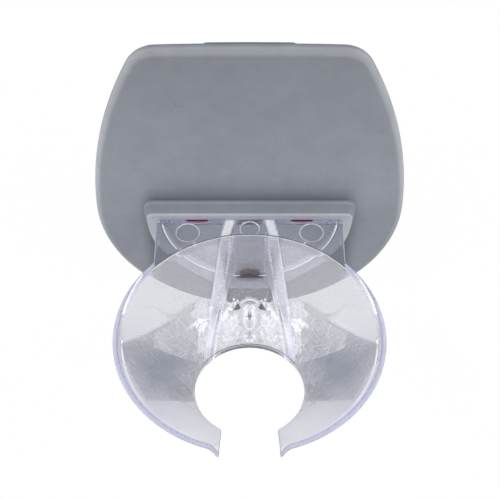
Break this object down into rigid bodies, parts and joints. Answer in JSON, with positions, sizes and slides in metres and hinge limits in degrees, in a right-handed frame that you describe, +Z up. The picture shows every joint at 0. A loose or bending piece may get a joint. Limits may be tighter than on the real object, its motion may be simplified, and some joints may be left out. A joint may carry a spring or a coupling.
{
  "type": "bathtub wine glass holder",
  "caption": "Grey silicone wall pad with a D-shaped socket that takes a clear plastic cradle, an open funnel with a front slot that carries a stemmed glass by its bowl.",
  "frame": {"origin": "on the wall face of the pad, at the common centre of the pad's lower arc and of the socket", "axes": "+Z up, +Y square into the wall, +X to the right as seen by someone facing the wall"},
  "size_m": [0.12, 0.1172, 0.1432],
  "materials": {
    "tacky_silicone": "smooth tacky silicone",
    "stiff_plastic": "moulded, matt",
    "grey_silicone": "moulded silicone, satin",
    "clear_plastic": "clear, polished mould",
    "red_plastic": "moulded, satin"
  },
  "bodies": {
    "pad": {"grip_pad": "grey_silicone", "core_plate": "stiff_plastic", "wall_sheet": "tacky_silicone", "lock_key_left": "red_plastic", "lock_key_right": "red_plastic", "lock_key_bottom": "red_plastic"},
    "cradle": {"glass_cradle": "clear_plastic"}
  },
  "joints": [
    {"name": "cradle_pull", "type": "slide", "parent": "pad", "child": "cradle", "axis": [0, -1, 0], "range_m": [0, 0.0066]}
  ]
}
